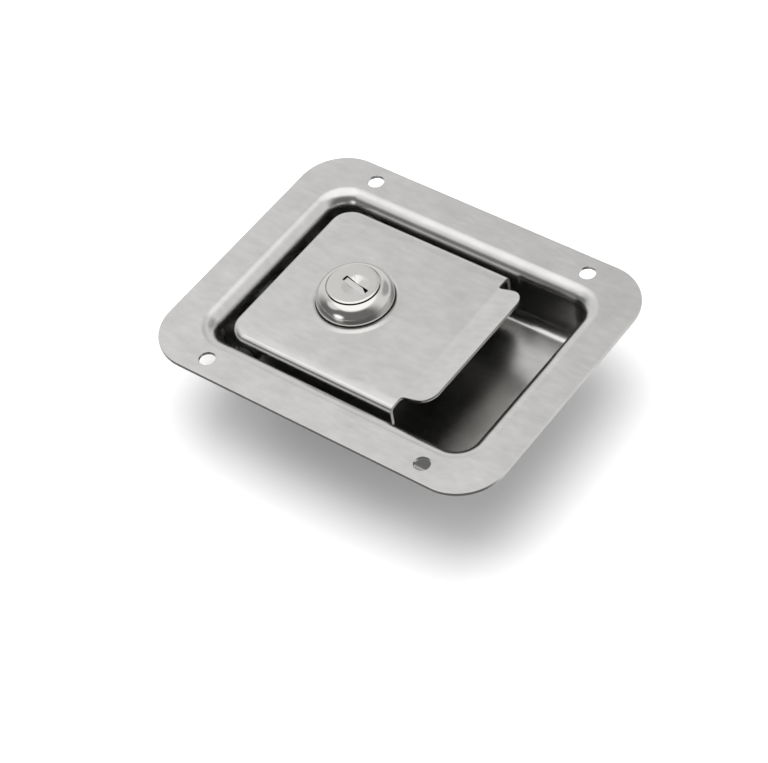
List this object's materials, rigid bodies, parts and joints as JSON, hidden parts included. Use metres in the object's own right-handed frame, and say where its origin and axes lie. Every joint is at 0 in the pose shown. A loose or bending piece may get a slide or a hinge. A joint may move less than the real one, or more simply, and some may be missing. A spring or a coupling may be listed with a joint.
{
  "type": "locking paddle latch handle",
  "caption": "Flush stainless pull handle for a door: a paddle in a drawn pan with a key lock, driving a sprung slam bolt in a channel at the back.",
  "frame": {"origin": "centre of the four mounting holes, on the back face of the plate, which lies on the door skin", "axes": "+X from the hinge end of the paddle to the finger end, +Y across, +Z out of the door towards the hand"},
  "size_m": [0.1323, 0.0952, 0.0389],
  "materials": {
    "satin_stainless": "satin stainless sheet, drawn",
    "satin_lock_case": "satin chrome plated die casting",
    "zinc_plated_steel": "clear zinc plate",
    "rivet_steel": "plain bright rivet steel",
    "bright_pin_steel": "ground bright steel",
    "spring_steel": "drawn spring wire",
    "wafer_brass": "stamped brass",
    "cast_bolt": "zinc plated casting",
    "black_nylon": "black nylon washer"
  },
  "bodies": {
    "frame": {"pan": "satin_stainless", "latch_housing": "zinc_plated_steel", "housing_rivets": "rivet_steel", "lock_keeper": "zinc_plated_steel", "keeper_rivets": "rivet_steel", "hinge_pin": "bright_pin_steel", "pin_clip": "spring_steel", "pin_washers": "black_nylon", "paddle_spring": "spring_steel", "bolt_spring": "spring_steel", "spring_guide": "bright_pin_steel"},
    "paddle": {"paddle": "satin_stainless", "drive_arm": "zinc_plated_steel", "lock_body": "satin_lock_case", "lock_washer": "bright_pin_steel", "lock_nut": "zinc_plated_steel"},
    "plug": {"lock_plug": "satin_lock_case", "lock_wafers": "wafer_brass", "stop_plate": "zinc_plated_steel", "lock_cam": "zinc_plated_steel", "cam_washer": "bright_pin_steel", "cam_screw": "zinc_plated_steel"},
    "shutter": {"dust_shutter": "bright_pin_steel"},
    "bolt": {"latch_bolt": "cast_bolt"}
  },
  "joints": [
    {"name": "paddle_hinge", "type": "hinge", "parent": "frame", "child": "paddle", "pos_m": [-0.034, 0, -0.006], "axis": [0, -1, 0], "range_deg": [0, 40], "stiffness_Nm_per_rad": 0.35, "springref_deg": -20.05, "deforming": ["paddle_spring"]},
    {"name": "plug_turn", "type": "hinge", "parent": "paddle", "child": "plug", "pos_m": [-0.0156, 0, 0], "axis": [0, 0, 1], "range_deg": [-90, 0]},
    {"name": "shutter_flap", "type": "hinge", "parent": "plug", "child": "shutter", "pos_m": [-0.01474, -0.00083, 0.00555], "axis": [-0.9816, 0.1908, 0], "range_deg": [0, 75], "stiffness_Nm_per_rad": 0.0006, "springref_deg": -11.46},
    {"name": "bolt_slide", "type": "slide", "parent": "frame", "child": "bolt", "axis": [1, 0, 0], "range_m": [0, 0.01426], "stiffness_N_per_m": 400, "springref_m": -0.012, "deforming": ["bolt_spring"]}
  ],
  "couplings": [
    {"joint": "paddle_hinge", "follows": "bolt_slide", "rad_per_m": 48.93}
  ]
}
